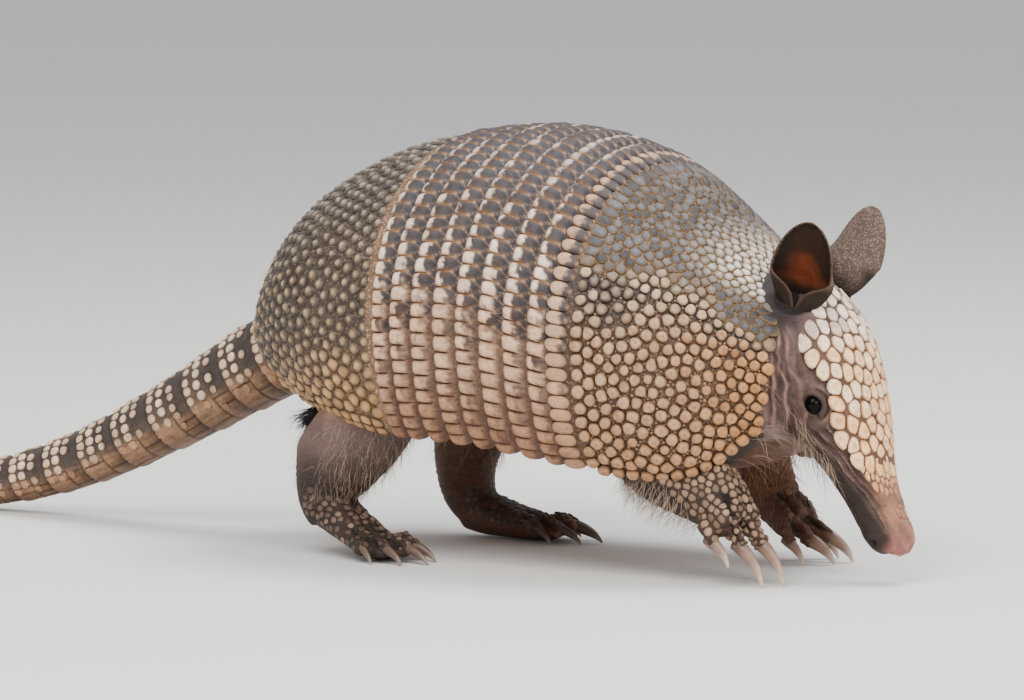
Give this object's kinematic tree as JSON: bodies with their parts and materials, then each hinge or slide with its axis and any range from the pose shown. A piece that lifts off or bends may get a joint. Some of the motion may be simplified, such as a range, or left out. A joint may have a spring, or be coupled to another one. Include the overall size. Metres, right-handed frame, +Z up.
{
  "type": "armadillo",
  "caption": "Life-size banded armadillo walking with its nose to the floor: ridged plate armour, tall cupped ears, long ringed tail and strong claws. A still display model.",
  "frame": {"origin": "middle of the model's bounding box in plan, on the floor that it stands on", "axes": "+X runs from the tail to the head, +Y to the animal's left, +Z up"},
  "size_m": [0.6434, 0.1666, 0.1798],
  "materials": {
    "armour": "horny plates, satin",
    "skin": "wrinkled, matte",
    "ear": "thin grained skin, matte",
    "eye": "wet gloss",
    "claw": "horn, satin"
  },
  "bodies": {
    "root": {"pelvic_shield": "armour", "shoulder_shield": "armour", "band_1": "armour", "band_2": "armour", "band_3": "armour", "band_4": "armour", "band_5": "armour", "band_6": "armour", "band_7": "armour", "band_8": "armour", "trunk": "skin", "head": "skin", "ear_right": "ear", "eye_right": "eye", "ear_left": "ear", "eye_left": "eye", "head_shield": "armour", "neck": "skin", "forefoot_right": "skin", "foreleg_right": "skin", "claw_fore_right_1": "claw", "claw_fore_right_2": "claw", "claw_fore_right_3": "claw", "claw_fore_right_4": "claw", "hindfoot_right": "skin", "hindleg_right": "skin", "claw_hind_right_1": "claw", "claw_hind_right_2": "claw", "claw_hind_right_3": "claw", "claw_hind_right_4": "claw", "claw_hind_right_5": "claw", "forefoot_left": "skin", "foreleg_left": "skin", "claw_fore_left_1": "claw", "claw_fore_left_2": "claw", "claw_fore_left_3": "claw", "claw_fore_left_4": "claw", "hindfoot_left": "skin", "hindleg_left": "skin", "claw_hind_left_1": "claw", "claw_hind_left_2": "claw", "claw_hind_left_3": "claw", "claw_hind_left_4": "claw", "claw_hind_left_5": "claw", "tail_ring_1": "armour", "tail_ring_2": "armour", "tail_ring_3": "armour", "tail_ring_4": "armour", "tail_ring_5": "armour", "tail_ring_6": "armour", "tail_ring_7": "armour", "tail_ring_8": "armour", "tail_ring_9": "armour", "tail_ring_10": "armour", "tail_ring_11": "armour", "tail_ring_12": "armour", "tail_tip": "armour"}
  },
  "joints": []
}
